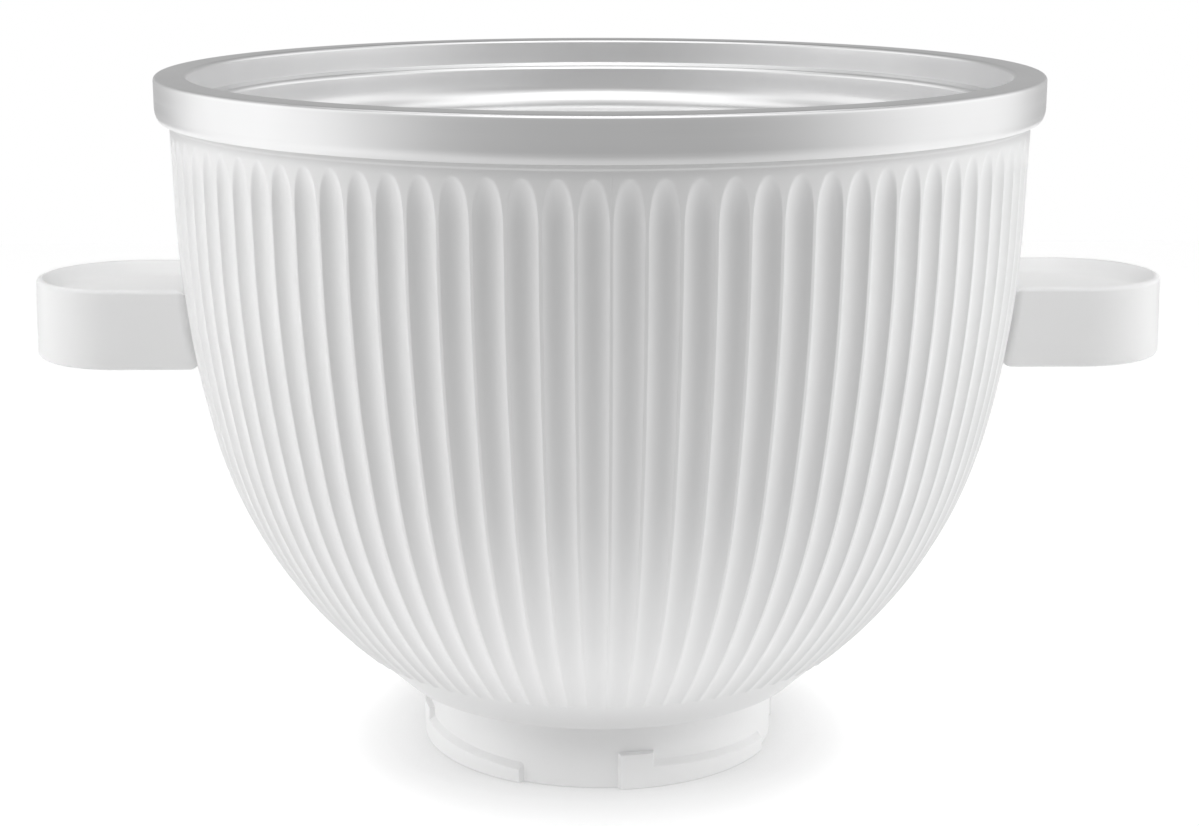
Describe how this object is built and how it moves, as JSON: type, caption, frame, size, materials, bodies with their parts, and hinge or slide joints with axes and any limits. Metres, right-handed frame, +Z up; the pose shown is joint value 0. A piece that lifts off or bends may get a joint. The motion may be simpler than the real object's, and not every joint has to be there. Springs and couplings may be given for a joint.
{
  "type": "ice cream maker freeze bowl",
  "caption": "Freeze bowl of an ice cream maker: aluminium bowl with a rolled rim in a white fluted plastic shell with side handles and a round bayonet foot for a stand mixer.",
  "frame": {"origin": "middle of the foot's underside, where the bowl stands", "axes": "+Z up along the bowl's axis, X through the handles, the shell's mould line towards -Y"},
  "size_m": [0.3286, 0.25, 0.1974],
  "materials": {
    "shell_plastic": "satin",
    "handle_plastic": "satin",
    "base_plastic": "satin",
    "plug_plastic": "satin",
    "spun_aluminium": "satin",
    "seal_rubber": "matte",
    "freezing_gel": "gloss",
    "screw_steel": "satin"
  },
  "bodies": {
    "root": {"outer_shell": "shell_plastic", "inner_bowl": "spun_aluminium", "rim_gasket": "seal_rubber", "freezing_liquid": "freezing_gel", "bayonet_base": "base_plastic", "fill_plug": "plug_plastic", "plug_seal": "seal_rubber", "left_handle": "handle_plastic", "right_handle": "handle_plastic", "base_screw_1": "screw_steel", "base_screw_2": "screw_steel", "base_screw_3": "screw_steel", "base_screw_4": "screw_steel", "left_handle_screw_front": "screw_steel", "left_handle_screw_back": "screw_steel", "right_handle_screw_front": "screw_steel", "right_handle_screw_back": "screw_steel"}
  },
  "joints": []
}
